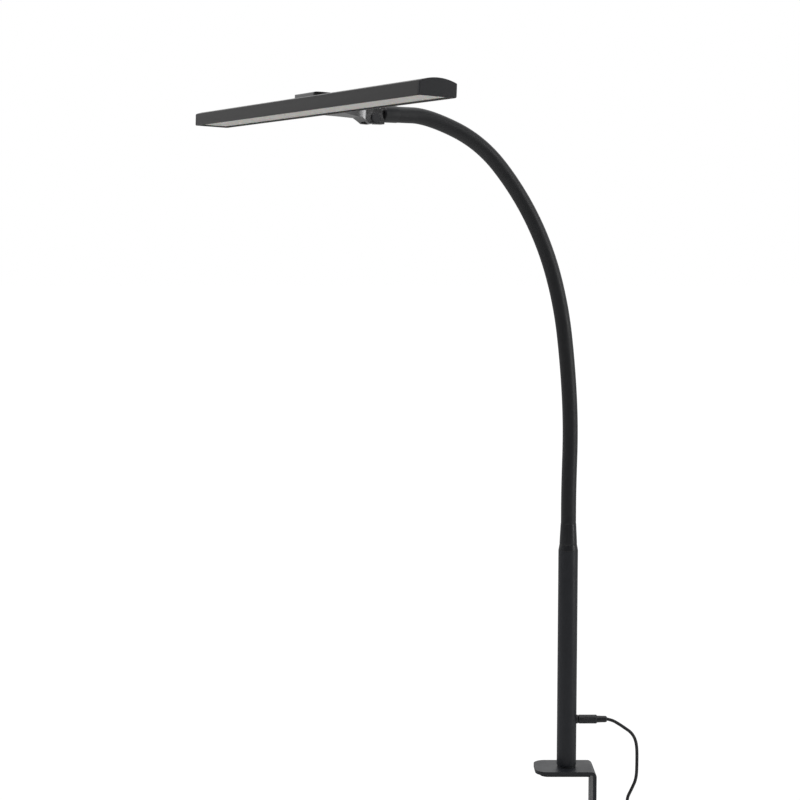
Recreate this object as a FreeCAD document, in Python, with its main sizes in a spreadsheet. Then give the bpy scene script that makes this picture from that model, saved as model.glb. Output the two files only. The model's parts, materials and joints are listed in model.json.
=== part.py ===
import FreeCAD, Part
import math
import os

import Sketcher
from FreeCAD import Placement, Rotation, Vector

# Clamp-on task lamp: an LED light bar on a tilting yoke, at the end of a flexible neck that rises
# from a pole. The pole turns on a screw clamp that grips the edge of a table.
# Millimetres. The origin is on the pole's axis at the underside of the clamp's upper pad, which is
# where the tabletop's upper face lies. +Z is up, -X points in over the table, +X out past its edge.

DIMENSIONS = {
    # clamp
    "clamp_depth": 46.6,
    "clamp_thickness": 4.0,
    "clamp_reach": 36.3,
    "clamp_back": 32.0,
    "clamp_bend": 6.0,
    "clamp_corner": 13.0,
    "jaw_level": -73.0,
    "jaw_reach": 24.0,
    "jaw_corner": 8.0,
    "pad_thickness": 2.5,
    "pad_inner_end": 31.0,
    "pad_outer_end": 25.0,
    "pad_width": 40.0,
    "pad_corner": 9.0,
    "bush_radius": 8.0,
    "bush_flange_radius": 10.0,
    "bush_flange_height": 8.0,
    # screw, its pressure plate and its knob
    "screw_offset": -5.0,
    "screw_radius": 5.0,
    "screw_pin_radius": 3.0,
    "running_gap": 0.05,
    "grip_level": -42.0,
    "grip_radius": 13.0,
    "grip_rubber": 2.0,
    "grip_plate": 3.0,
    "boss_radius": 7.0,
    "boss_height": 5.0,
    "knob_top": -127.0,
    "knob_height": 24.0,
    "knob_radius": 18.0,
    "knob_hub_radius": 10.0,
    "scallop_radius": 6.0,
    # pole and its foot
    "pole_radius": 11.0,
    "pole_wall": 1.5,
    "pole_length": 247.2,
    "pole_edge": 1.2,
    "washer_height": 1.5,
    "foot_height": 18.0,
    "bolt_radius": 4.0,
    "bolt_head_radius": 7.3,
    "bolt_recess": 0.3,
    "clearance": 0.3,
    "collar_height": 6.6,
    "collar_top_radius": 9.8,
    "spigot_depth": 8.0,
    "lead_hole_radius": 3.5,
    "ferrule_height": 23.8,
    "ferrule_top_radius": 8.7,
    # power socket and plug
    "socket_level": 61.0,
    "socket_radius": 4.4,
    "socket_flange_radius": 5.0,
    "socket_flange_end": 12.4,
    "jack_radius": 2.7,
    "plug_radius": 5.0,
    "plug_start": 12.9,
    "plug_end": 34.1,
    "relief_end": 45.7,
    "lead_radius": 1.6,
    # flexible neck
    "neck_radius": 8.5,
    "core_radius": 5.9,
    "core_bore_radius": 2.5,
    "neck_first": 41.5,
    "neck_step": 68.0,
    "neck_last": 38.0,
    "core_insert": 13.0,
    "joint_gap": 0.3,
    "rim_drop": 4.0,
    # upper ferrule and hinge
    "end_ferrule_radius": 8.8,
    "end_ferrule_length": 17.0,
    "stem_radius": 5.0,
    "hinge_ahead": 30.7,
    "hinge_drop": 5.2,
    "tongue_radius": 5.8,
    "tongue_width": 9.8,
    "cheek_radius": 5.9,
    "cheek_thickness": 5.0,
    "cheek_top": 12.4,
    "slot_radius": 10.4,
    "washer_thickness": 0.25,
    "hinge_bolt_radius": 2.5,
    "bolt_cap_radius": 4.2,
    "bolt_cap_height": 2.7,
    "cap_radius": 5.0,
    "cap_height": 1.4,
    # yoke, in the head's frame: x forward from the hinge, z up
    "yoke_underside": 2.0,
    "yoke_front": 78.8,
    "yoke_top": 20.2,
    "yoke_width": 54.0,
    "yoke_corner": 7.0,
    "yoke_screw_spread": 13.0,
    "yoke_screw_radius": 1.5,
    "yoke_screw_head": 2.9,
    "yoke_screw_x": 68.8,
    # light bar
    "head_rear": 51.5,
    "head_width": 39.3,
    "head_length": 518.0,
    "head_low": -0.1,
    "head_side": 13.1,
    "head_rise": 3.8,
    "wall": 1.6,
    "lip": 2.2,
    "lip_height": 1.5,
    "web_height": 7.5,
    "end_cap": 3.0,
    "plug_depth": 6.0,
    "fit_gap": 0.15,
    "diffuser_thickness": 2.0,
    "board_thickness": 1.5,
    "board_inset": 4.0,
    "led_height": 0.8,
    # cord
    "cord_radius": 1.8,
    "coil_radius": 21.0,
    "coil_bundle_radius": 7.5,
    "tie_width": 6.0,
    # power adapter
    "adapter_width": 38.0,
    "adapter_depth": 26.0,
    "adapter_height": 60.0,
    "adapter_corner": 4.0,
    "pin_radius": 2.0,
    "pin_length": 19.0,
    "pin_spacing": 19.0,
}

# Where the neck points, from its root to the light bar: degrees from upright, and degrees of turn
# from -X towards -Y. It stands straight, then curls over and round to the bar.
NECK_LEAN = [0, -1.5, 3.5, 7, 16, 28, 40.5, 67.5, 90]
NECK_TURN = [0, 10, 10, 10.5, 12, 14.5, 18, 22.5, 29.3]
BAR_PITCH = -0.6  # degrees about the arm: the far end of the bar stands higher
BAR_ROLL = -2.0  # degrees about the hinge: the bar's front edge stands higher

# The cord hangs from the plug's strain relief, past the table's edge, down to a tied coil, and
# its other end leaves the coil for the power adapter.
CORD_ROUTE = [
    (45.7, 0.0, 61.0),
    (51.5, 0.0, 59.8),
    (58.4, -0.3, 55.9),
    (66.4, -0.7, 50.6),
    (73.4, -1.0, 45.6),
    (78.0, -1.1, 38.0),
    (79.9, -0.9, 28.0),
    (80.2, -0.4, 12.0),
    (80.0, 0.6, -8.0),
    (76.2, 1.3, -22.5),
    (71.4, 1.8, -36.5),
    (70.8, 2.4, -50.2),
]
COIL_CENTRE = (84.0, 3.0, -74.0)
TAIL_ROUTE = [
    (92.5, 3.4, -97.2),
    (87.4, 3.6, -105.2),
    (84.3, 4.2, -115.5),
    (83.0, 4.8, -128.0),
    (83.1, 5.0, -140.4),
]
ADAPTER_TOP = (83.1, 5.0, -152.0)

LED_COLUMNS = 40
LED_ROWS = 2
SCALLOPS = 8

doc = FreeCAD.newDocument("clamp_lamp")
sheet = doc.addObject("Spreadsheet::Sheet", "Dims")
nodes = []


class Size:
    """A length and the spreadsheet expression that gives it."""

    def __init__(self, value, text):
        self.value = value
        self.text = text

    def __add__(self, other):
        other = as_size(other)
        return Size(self.value + other.value, f"({self.text} + {other.text})")

    def __sub__(self, other):
        other = as_size(other)
        return Size(self.value - other.value, f"({self.text} - {other.text})")

    def __mul__(self, other):
        other = as_size(other)
        return Size(self.value * other.value, f"({self.text} * {other.text})")

    def __truediv__(self, other):
        other = as_size(other)
        return Size(self.value / other.value, f"({self.text} / {other.text})")

    def __neg__(self):
        return Size(-self.value, f"(0 - {self.text})")


def as_size(number):
    return number if isinstance(number, Size) else Size(float(number), str(number))


def dim(alias):
    return Size(float(sheet.get(alias)), f"Dims.{alias}")


def root(size):
    return Size(math.sqrt(size.value), f"sqrt({size.text})")


def fill_sheet():
    for row, (alias, value) in enumerate(DIMENSIONS.items(), start=1):
        sheet.set(f"A{row}", alias)
        sheet.set(f"B{row}", str(value))
        sheet.setAlias(f"B{row}", alias)
    doc.recompute()


# ---- sketching -------------------------------------------------------------------------------


def flat(corner):
    return Vector(as_size(corner[0]).value, as_size(corner[1]).value, 0)


def arc_middle(here, there, radius, bulge):
    chord = there - here
    side = Vector(-chord.y, chord.x, 0).normalize() * bulge
    rise = radius - math.sqrt(max(radius**2 - (chord.Length / 2) ** 2, 0.0))
    return (here + there) * 0.5 + side * rise


def outline(sketch, corners):
    """Draws one closed outline. A corner is (x, y), or (x, y, radius, bulge) where the edge to the
    next corner is an arc, which bulges to the left of the way along it (1) or to the right (-1)."""
    edges = []
    for corner, after in zip(corners, corners[1:] + corners[:1]):
        here, there = flat(corner), flat(after)
        start = 1
        if len(corner) == 2:
            edge = Part.LineSegment(here, there)
        else:
            middle = arc_middle(here, there, as_size(corner[2]).value, corner[3])
            if corner[3] == 1:
                # a sketch keeps its arcs anticlockwise, so this one is drawn from its far end
                edge, start = Part.Arc(there, middle, here), 2
            else:
                edge = Part.Arc(here, middle, there)
        edges.append((sketch.addGeometry(edge, False), start))
    for corner, (number, start), (following, its_start) in zip(
        corners, edges, edges[1:] + edges[:1]
    ):
        sketch.addConstraint(
            Sketcher.Constraint("Coincident", number, 3 - start, following, its_start)
        )
        for kind, size in zip(("DistanceX", "DistanceY"), corner):
            bind(sketch, Sketcher.Constraint(kind, -1, 1, number, start, as_size(size).value), size)
        if len(corner) == 4:
            bind(sketch, Sketcher.Constraint("Radius", number, as_size(corner[2]).value), corner[2])


def bind(sketch, constraint, size):
    index = sketch.addConstraint(constraint)
    if "Dims." in as_size(size).text:
        sketch.setExpression(f"Constraints[{index}]", size.text)


def new_sketch(body, plane, outlines):
    sketch = body.newObject("Sketcher::SketchObject", f"{body.Label}_sketch")
    planes = [part for part in body.Origin.OriginFeatures if part.Role == plane]
    sketch.AttachmentSupport = [(planes[0], "")]
    sketch.MapMode = "FlatFace"
    for corners in outlines:
        outline(sketch, corners)
    return sketch


def new_body(label):
    body = doc.addObject("PartDesign::Body", label)
    body.Label = label
    return body


def revolve(label, corners):
    """A solid of revolution about Z: corners are (radius, height)."""
    body = new_body(label)
    sketch = new_sketch(body, "XZ_Plane", [corners])
    turn = body.newObject("PartDesign::Revolution", f"{label}_turn")
    turn.Profile = sketch
    turn.ReferenceAxis = (sketch, ["V_Axis"])
    turn.Angle = 360
    return body


def pad(body, plane, outlines, length, side="Symmetric", reverse=False):
    sketch = new_sketch(body, plane, outlines)
    feature = body.newObject("PartDesign::Pad", f"{body.Label}_pad")
    feature.Profile = sketch
    feature.SideType = side
    feature.Reversed = reverse
    feature.setExpression("Length", as_size(length).text)
    return feature


def extrude(label, plane, outlines, length):
    body = new_body(label)
    pad(body, plane, outlines, length)
    return body


# ---- primitives and booleans -----------------------------------------------------------------


def put(thing, x=0.0, y=0.0, z=0.0, rotation=None):
    base = Vector(as_size(x).value, as_size(y).value, as_size(z).value)
    thing.Placement = Placement(base, rotation or Rotation())
    for axis, size in zip("xyz", (x, y, z)):
        if "Dims." in as_size(size).text:
            thing.setExpression(f"Placement.Base.{axis}", size.text)
    return thing


ALONG_X = Rotation(Vector(0, 1, 0), 90)
ALONG_Y = Rotation(Vector(1, 0, 0), -90)


def cylinder(label, radius, height, rotation=None, x=0.0, y=0.0, z=0.0):
    shape = doc.addObject("Part::Cylinder", label)
    shape.setExpression("Radius", as_size(radius).text)
    shape.setExpression("Height", as_size(height).text)
    return put(shape, x, y, z, rotation)


def box(label, length, width, height, x=0.0, y=0.0, z=0.0):
    shape = doc.addObject("Part::Box", label)
    for name, size in zip(("Length", "Width", "Height"), (length, width, height)):
        shape.setExpression(name, as_size(size).text)
    return put(shape, x, y, z)


def cone(label, low_radius, high_radius, height, z):
    shape = doc.addObject("Part::Cone", label)
    for name, size in zip(("Radius1", "Radius2", "Height"), (low_radius, high_radius, height)):
        shape.setExpression(name, as_size(size).text)
    return put(shape, z=z)


def fuse(label, shapes):
    joined = doc.addObject("Part::MultiFuse", label)
    joined.Shapes = shapes
    return joined


def cut(label, base, tools):
    result = doc.addObject("Part::Cut", label)
    result.Base = base
    result.Tool = tools[0] if len(tools) == 1 else fuse(f"{label}_tools", tools)
    return result


def common(label, base, tool):
    result = doc.addObject("Part::Common", label)
    result.Base = base
    result.Tool = tool
    return result


def feature(label, shape):
    result = doc.addObject("Part::Feature", label)
    result.Shape = shape
    return result


def fillet(body, base, edges, radius):
    rounded = body.newObject("PartDesign::Fillet", f"{body.Label}_fillet")
    rounded.Base = (base, edges)
    rounded.setExpression("Radius", as_size(radius).text)
    return rounded


def upright_edges(base, x):
    """The names of the edges of a feature that run along Z at the given x."""
    doc.recompute()
    found = []
    for number, edge in enumerate(base.Shape.Edges, start=1):
        box_of = edge.BoundBox
        if box_of.XLength < 1e-6 and box_of.YLength < 1e-6 and abs(box_of.XMin - x) < 1e-4:
            found.append(f"Edge{number}")
    return found


def keep(label, thing, frame=None):
    """Files a finished sub-part as a node, moved into place by the frame it was drawn in."""
    thing.Label = label
    if frame is not None:
        doc.recompute()
        placement = frame.multiply(thing.Placement)
        for path, _ in thing.ExpressionEngine:
            if "Placement" in path:
                thing.setExpression(path, None)
        thing.Placement = placement
    nodes.append(thing)
    return thing


# ---- frames ----------------------------------------------------------------------------------


def pointing(lean, turn):
    """The direction that leans from upright, turned from -X towards -Y."""
    lean, turn = math.radians(lean), math.radians(turn)
    across = math.sin(lean)
    return Vector(-across * math.cos(turn), -across * math.sin(turn), math.cos(lean))


def level(*aliases):
    return sum(float(sheet.get(alias)) for alias in aliases)


def neck_frames():
    """A frame at each link's lower end, with Z along the link, and the point where the neck ends."""
    low = level("pad_thickness", "clamp_thickness", "washer_height", "pole_length")
    point = Vector(0, 0, low + level("collar_height", "ferrule_height"))
    frames = []
    for link, (lean, turn) in enumerate(zip(NECK_LEAN, NECK_TURN)):
        direction = pointing(lean, turn)
        frames.append(Placement(point, Rotation(Vector(0, 0, 1), direction)))
        point = point + direction * link_length(link)
    return frames, point


def link_length(link):
    if link == 0:
        return level("neck_first")
    if link == len(NECK_LEAN) - 1:
        return level("neck_last")
    return level("neck_step")


def end_frame(point):
    """At the neck's end: x along the neck, z up, y level towards the bar's near end."""
    yaw = Rotation(Vector(0, 0, 1), 180 + NECK_TURN[-1])
    return Placement(point, yaw.multiply(Rotation(Vector(1, 0, 0), BAR_PITCH)))


def head_frame(end):
    """At the hinge's centre: x towards the bar, y along the bar, z up."""
    step = Placement(Vector(level("hinge_ahead"), 0, -level("hinge_drop")), Rotation())
    return end.multiply(step).multiply(Placement(Vector(), Rotation(Vector(0, 1, 0), BAR_ROLL)))


# ---- clamp -----------------------------------------------------------------------------------


def clamp_bracket():
    """Flat steel bent to a C, open towards -X, with the pole's bolt hole and the screw's bush."""
    thick, back, bend = dim("clamp_thickness"), dim("clamp_back"), dim("clamp_bend")
    under, jaw, reach = dim("pad_thickness"), dim("jaw_level"), dim("clamp_reach")
    top, bottom, inner = under + thick, jaw - thick, bend - thick
    body = new_body("clamp_bent_strip")
    profile = [
        (-reach, top),
        (back - bend, top, bend, 1),
        (back, top - bend),
        (back, bottom + bend, bend, 1),
        (back - bend, bottom),
        (-dim("jaw_reach"), bottom),
        (-dim("jaw_reach"), jaw),
        (back - bend, jaw, inner, -1),
        (back - thick, jaw + inner),
        (back - thick, under - inner, inner, -1),
        (back - bend, under),
        (-reach, under),
    ]
    strip = pad(body, "XZ_Plane", [profile], dim("clamp_depth"))
    round_top = fillet(body, strip, upright_edges(strip, -reach.value), dim("clamp_corner"))
    edges = upright_edges(round_top, -dim("jaw_reach").value)
    fillet(body, round_top, edges, dim("jaw_corner"))
    loose = dim("clearance")
    hole = cylinder("bolt_hole", dim("bolt_radius") + 0.1, thick + 2, z=under - 1)
    sink_height = dim("bolt_head_radius") - dim("bolt_radius")
    sink = cone(
        "bolt_sink",
        dim("bolt_head_radius") + loose + loose,
        dim("bolt_radius") + loose,
        sink_height + loose,
        under,
    )
    bush_hole = cylinder(
        "bush_hole", dim("bush_radius"), thick + 2, x=dim("screw_offset"), z=bottom - 1
    )
    keep("clamp_bracket", cut("clamp_bracket", body, [hole, sink, bush_hole]))


def clamp_pads_and_bush():
    half, corner = dim("pad_width") / 2, dim("pad_corner")
    inner, outer = -dim("pad_inner_end"), dim("pad_outer_end")
    outline_of_pad = [
        (inner + corner, -half),
        (outer, -half),
        (outer, half),
        (inner + corner, half, corner, -1),
        (inner, half - corner),
        (inner, -half + corner, corner, -1),
    ]
    body = new_body("upper_pad")
    pad(body, "XY_Plane", [outline_of_pad], dim("pad_thickness"), side="One side")
    keep("upper_pad", body)

    jaw, thick = dim("jaw_level"), dim("clamp_thickness")
    bore = dim("screw_radius") + dim("running_gap")
    flange, radius = dim("bush_flange_radius"), dim("bush_radius")
    base = jaw - thick - dim("bush_flange_height")
    corners = [
        (bore, base),
        (flange, base),
        (flange, jaw - thick),
        (radius, jaw - thick),
        (radius, jaw),
        (bore, jaw),
    ]
    keep("jaw_bush", revolve("jaw_bush", corners), screw_frame())


def screw_frame():
    return Placement(Vector(level("screw_offset"), 0, 0), Rotation())


def pressure_pad():
    top, radius = dim("grip_level"), dim("grip_radius")
    plate_top = top - dim("grip_rubber")
    rubber = [(0, plate_top), (radius, plate_top), (radius, top), (0, top)]
    keep("lower_pad", revolve("lower_pad", rubber), screw_frame())

    plate_low = plate_top - dim("grip_plate")
    boss_low = plate_low - dim("boss_height")
    pin = dim("screw_pin_radius") + dim("running_gap")
    corners = [
        (0, plate_low + 1),
        (pin, plate_low + 1),
        (pin, boss_low),
        (dim("boss_radius"), boss_low),
        (dim("boss_radius"), plate_low),
        (radius, plate_low),
        (radius, plate_top),
        (0, plate_top),
    ]
    keep("pressure_plate", revolve("pressure_plate", corners), screw_frame())


def screw_and_knob():
    boss_low = dim("grip_level") - dim("grip_rubber") - dim("grip_plate") - dim("boss_height")
    shoulder = boss_low - 0.2
    pin_top = boss_low + dim("boss_height")
    foot = dim("knob_top") - 16
    rod, pin = dim("screw_radius"), dim("screw_pin_radius")
    corners = [
        (0, foot),
        (rod, foot),
        (rod, shoulder - 1),
        (rod - 1, shoulder),
        (pin, shoulder),
        (pin, pin_top),
        (0, pin_top),
    ]
    keep("clamp_screw", revolve("clamp_screw", corners), screw_frame())

    top, radius, hub = dim("knob_top"), dim("knob_radius"), dim("knob_hub_radius")
    low = top - dim("knob_height")
    corners = [
        (0, low),
        (radius - 3, low, 3, -1),
        (radius, low + 3),
        (radius, top - 8, 2, -1),
        (radius - 2, top - 6),
        (hub, top - 4),
        (hub, top),
        (rod, top),
        (rod, foot),
        (0, foot),
    ]
    body = revolve("knob_blank", corners)
    scallop = cylinder("scallop", dim("scallop_radius"), 40, x=radius + 3.5, z=low - 1)
    doc.recompute()
    ring = []
    for turn in range(SCALLOPS):
        tool = scallop.Shape.copy()
        tool.rotate(Vector(), Vector(0, 0, 1), 360 * turn / SCALLOPS)
        ring.append(tool)
    tools = feature("scallops", Part.makeCompound(ring))
    keep("clamp_knob", cut("clamp_knob", body, [tools]), screw_frame())


# ---- pole ------------------------------------------------------------------------------------


def pole():
    plate = dim("pad_thickness") + dim("clamp_thickness")
    low = plate + dim("washer_height")
    top = low + dim("pole_length")
    outer, inner, edge = dim("pole_radius"), dim("pole_radius") - dim("pole_wall"), dim("pole_edge")

    washer = [
        (dim("bolt_radius") + dim("clearance"), plate),
        (outer - 0.6, plate),
        (outer - 0.6, low),
        (dim("bolt_radius") + dim("clearance"), low),
    ]
    keep("swivel_washer", revolve("swivel_washer", washer))

    tube = [
        (inner, low),
        (outer - edge, low, edge, -1),
        (outer, low + edge),
        (outer, top),
        (inner, top),
    ]
    port = cylinder(
        "socket_port", dim("socket_radius"), inner, ALONG_X, x=4, z=dim("socket_level")
    )
    keep("pole_tube", cut("pole_tube", revolve("pole_blank", tube), [port]))

    bolt = dim("bolt_radius")
    foot_top = low + dim("foot_height")
    foot = [(bolt, low), (inner, low), (inner, foot_top), (bolt, foot_top)]
    keep("pole_foot", revolve("pole_foot", foot))

    head = dim("bolt_head_radius")
    head_low = dim("pad_thickness") + dim("bolt_recess")
    corners = [
        (0, head_low),
        (head, head_low),
        (bolt, head_low + head - bolt),
        (bolt, foot_top - 1),
        (0, foot_top - 1),
    ]
    keep("swivel_bolt", revolve("swivel_bolt", corners))
    return top


def collar_and_ferrule(top):
    outer, inner = dim("pole_radius"), dim("pole_radius") - dim("pole_wall")
    shoulder, hole = dim("collar_top_radius"), dim("lead_hole_radius")
    seat = top + dim("collar_height")
    collar = [
        (hole, top - dim("spigot_depth")),
        (inner, top - dim("spigot_depth")),
        (inner, top),
        (outer, top),
        (shoulder, seat),
        (hole, seat),
    ]
    keep("pole_collar", revolve("pole_collar", collar))

    rim, core = seat + dim("ferrule_height"), dim("core_radius")
    ferrule = [
        (hole, seat),
        (shoulder, seat),
        (shoulder, seat + 2),
        (dim("ferrule_top_radius"), rim),
        (core, rim),
        (core, rim - dim("core_insert")),
        (hole, rim - dim("core_insert")),
    ]
    keep("lower_ferrule", revolve("lower_ferrule", ferrule))


def power_socket():
    """The socket lies along +X through the pole's wall, and its flange is hollowed to fit the tube."""
    flange_end = dim("socket_flange_end")
    jack = dim("jack_radius") + dim("running_gap")
    shell = [
        (0, 2),
        (dim("socket_radius"), 2),
        (dim("socket_radius"), dim("pole_radius") - 2),
        (dim("socket_flange_radius"), dim("pole_radius") - 2),
        (dim("socket_flange_radius"), flange_end),
        (jack, flange_end),
        (jack, 3),
        (0, 3),
    ]
    body = revolve("socket_blank", shell)
    body.Placement = Placement(Vector(0, 0, level("socket_level")), ALONG_X)
    doc.recompute()
    tube = Part.makeCylinder(level("pole_radius"), 40, Vector(0, 0, level("socket_level") - 20))
    core = Part.makeCylinder(
        level("socket_radius"), 30, Vector(-5, 0, level("socket_level")), Vector(1, 0, 0)
    )
    hollow = feature("socket_saddle", tube.cut(core))
    keep("dc_socket", cut("dc_socket", body, [hollow]))


def plug():
    start, end = dim("plug_start"), dim("plug_end")
    radius, jack = dim("plug_radius"), dim("jack_radius")
    frame = Placement(Vector(0, 0, level("socket_level")), ALONG_X)
    corners = [
        (0, 4),
        (jack, 4),
        (jack, start),
        (radius - 0.6, start),
        (radius, start + 0.6),
        (radius, end - 0.8),
        (radius - 0.8, end),
        (0, end),
    ]
    keep("dc_plug", revolve("dc_plug", corners), frame)

    tip = dim("relief_end")
    relief = [
        (0, end),
        (radius - 1.2, end),
        (radius - 1.4, tip - 1.4),
        (dim("cord_radius") + 0.5, tip),
        (0, tip),
    ]
    keep("plug_relief", revolve("plug_relief", relief), frame)


def internal_lead(top):
    """The two-core lead inside the pole, from the socket's back up into the collar."""
    height = level("socket_level")
    high = top.value + 4
    points = [(2.0, 0, height), (-5.0, 0, height), (-5.0, 0.3, 140), (-1.0, 0, high)]
    tube = round_tube([Vector(*point) for point in points], level("lead_radius"), 3.0)
    keep("pole_lead", feature("pole_lead", tube))


# ---- cords -----------------------------------------------------------------------------------


def round_tube(points, radius, most=None):
    """Straight runs joined by tangent arcs. Each arc is as large as its two runs allow, up to the
    most that is asked for."""
    edges, here, radii = [], points[0], []
    for before, corner, after in zip(points, points[1:], points[2:]):
        back, ahead = (before - corner), (after - corner)
        half = (math.pi - back.getAngle(ahead)) / 2
        arc = 0.45 * min(back.Length, ahead.Length) / math.tan(half)
        arc = min(arc, most) if most else arc
        reach = arc * math.tan(half)
        back.normalize()
        ahead.normalize()
        start, end = corner + back * reach, corner + ahead * reach
        inward = (back + ahead).normalize()
        middle = corner + inward * (arc / math.cos(half) - arc)
        edges.append(Part.LineSegment(here, start).toShape())
        edges.append(Part.Arc(start, middle, end).toShape())
        here = end
        radii.append(arc)
    edges.append(Part.LineSegment(here, points[-1]).toShape())
    path = Part.Wire(edges)
    ring = Part.Wire([Part.Circle(points[0], points[1] - points[0], radius).toShape()])
    tube = path.makePipeShell([ring], True, False)
    expected = math.pi * radius**2 * path.Length
    if abs(tube.Volume / expected - 1) > 0.01:
        raise ValueError(f"tube volume {tube.Volume:.0f}, expected {expected:.0f}")
    print("tube length", round(path.Length, 1), "radii", [round(arc, 1) for arc in radii])
    return tube


def cord():
    radius = level("cord_radius")
    centre = Vector(*COIL_CENTRE)
    run = [Vector(*point) for point in CORD_ROUTE]
    keep("cord_run", feature("cord_run", round_tube(run, radius)))
    tail = [Vector(*point) for point in TAIL_ROUTE]
    keep("cord_tail", feature("cord_tail", round_tube(tail, radius)))

    ring = doc.addObject("Part::Torus", "cord_coil")
    ring.setExpression("Radius1", dim("coil_radius").text)
    ring.setExpression("Radius2", dim("coil_bundle_radius").text)
    keep("cord_coil", put(ring, *COIL_CENTRE, rotation=ALONG_Y))

    bundle, width = dim("coil_bundle_radius"), dim("tie_width")
    band = [
        (bundle + 0.4, -width / 2),
        (bundle + 1.5, -width / 2),
        (bundle + 1.5, width / 2),
        (bundle + 0.4, width / 2),
    ]
    tilt = Rotation(Vector(0, 1, 0), 50)
    out = tilt.multVec(Vector(0, 0, level("coil_radius")))
    frame = Placement(centre + out, tilt.multiply(ALONG_X))
    keep("cord_tie", revolve("cord_tie", band), frame)


def adapter():
    """A wall plug with two round pins. It hangs from the cord with its pins level."""
    width, depth, height = dim("adapter_width"), dim("adapter_depth"), dim("adapter_height")
    corner = dim("adapter_corner")
    half, side = width / 2, depth / 2
    body = new_body("adapter_body")
    profile = [
        (-half + corner, -side),
        (half - corner, -side, corner, -1),
        (half, -side + corner),
        (half, side - corner, corner, -1),
        (half - corner, side),
        (-half + corner, side, corner, -1),
        (-half, side - corner),
        (-half, -side + corner, corner, -1),
    ]
    pad(body, "XY_Plane", [profile], height, side="One side", reverse=True)
    frame = Placement(Vector(*ADAPTER_TOP), Rotation())
    keep("adapter_body", body, frame)

    radius, length = dim("cord_radius"), 12
    relief = [(0, 0), (radius + 2.2, 0), (radius + 0.9, length), (0, length)]
    keep("adapter_relief", revolve("adapter_relief", relief), frame)

    pins = []
    for way in (-1, 1):
        start = Vector(way * level("pin_spacing") / 2, level("adapter_depth") / 2, -42)
        pins.append(
            Part.makeCylinder(level("pin_radius"), level("pin_length"), start, Vector(0, 1, 0))
        )
    keep("adapter_pins", feature("adapter_pins", Part.makeCompound(pins)), frame)


# ---- flexible neck ---------------------------------------------------------------------------


def link_profile(link, inner, outer, insert):
    """Half the section of one neck link. Its lower end is a ball about its own pivot, and its upper
    end is a socket for the next link's ball, cut back at the rim so that the next link can lean."""
    last = len(NECK_LEAN) - 1
    name = "neck_first" if link == 0 else "neck_last" if link == last else "neck_step"
    length, ball = dim(name), dim("neck_radius")
    socket, rim = ball + dim("joint_gap"), length - dim("rim_drop")
    if link == 0:
        corners = [(inner, -insert), (outer, -insert)]
    else:
        corners = [
            (inner, -root(ball * ball - inner * inner), ball, -1),
            (outer, -root(ball * ball - outer * outer)),
        ]
    if link == last:
        corners += [(outer, length + insert), (inner, length + insert)]
        return corners
    rim_radius = root(socket * socket - dim("rim_drop") * dim("rim_drop"))
    if outer.value > rim_radius.value:
        corners += [(outer, rim), (rim_radius, rim, socket, 1)]
    else:
        corners += [(outer, length - root(socket * socket - outer * outer), socket, 1)]
    corners += [(inner, length - root(socket * socket - inner * inner))]
    return corners


def neck(frames):
    core, bore, skin = dim("core_radius"), dim("core_bore_radius"), dim("neck_radius")
    for link, frame in enumerate(frames):
        name = f"neck_sleeve_{link}"
        profile = link_profile(link, core, skin, Size(0.0, "0"))
        keep(name, revolve(name, profile), frame)
        name = f"neck_core_{link}"
        profile = link_profile(link, bore, core, dim("core_insert"))
        keep(name, revolve(name, profile), frame)


def neck_end(frame):
    """The ferrule that closes the neck, and the hinge tongue whose stem it holds."""
    outer, length, stem = dim("end_ferrule_radius"), dim("end_ferrule_length"), dim("stem_radius")
    core, seat = dim("core_radius"), dim("core_insert")
    ferrule = [
        (core, 0),
        (outer, 0),
        (outer, length - 1),
        (outer - 1, length),
        (stem, length),
        (stem, seat),
        (core, seat),
    ]
    ahead = Placement(Vector(), ALONG_X)
    keep("upper_ferrule", revolve("upper_ferrule", ferrule), frame.multiply(ahead))

    width, radius = dim("tongue_width"), dim("tongue_radius")
    hinge, drop = dim("hinge_ahead"), dim("hinge_drop")
    barrel = cylinder("tongue_barrel", radius, width, ALONG_Y, x=hinge, y=-width / 2, z=-drop)
    neck_side = hinge - length - 4
    root_block = box(
        "tongue_root", neck_side, width, radius + drop + 3.8, x=length, y=-width / 2, z=-radius - drop
    )
    shank = cylinder("tongue_shank", stem, length - seat, ALONG_X, x=seat)
    bore = cylinder(
        "tongue_bore",
        dim("hinge_bolt_radius") + dim("running_gap"),
        width + 2,
        ALONG_Y,
        x=hinge,
        y=-width / 2 - 1,
        z=-drop,
    )
    solid = fuse("tongue_solid", [barrel, root_block, shank])
    keep("hinge_tongue", cut("hinge_tongue", solid, [bore]), frame)


# ---- hinge hardware --------------------------------------------------------------------------


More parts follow.
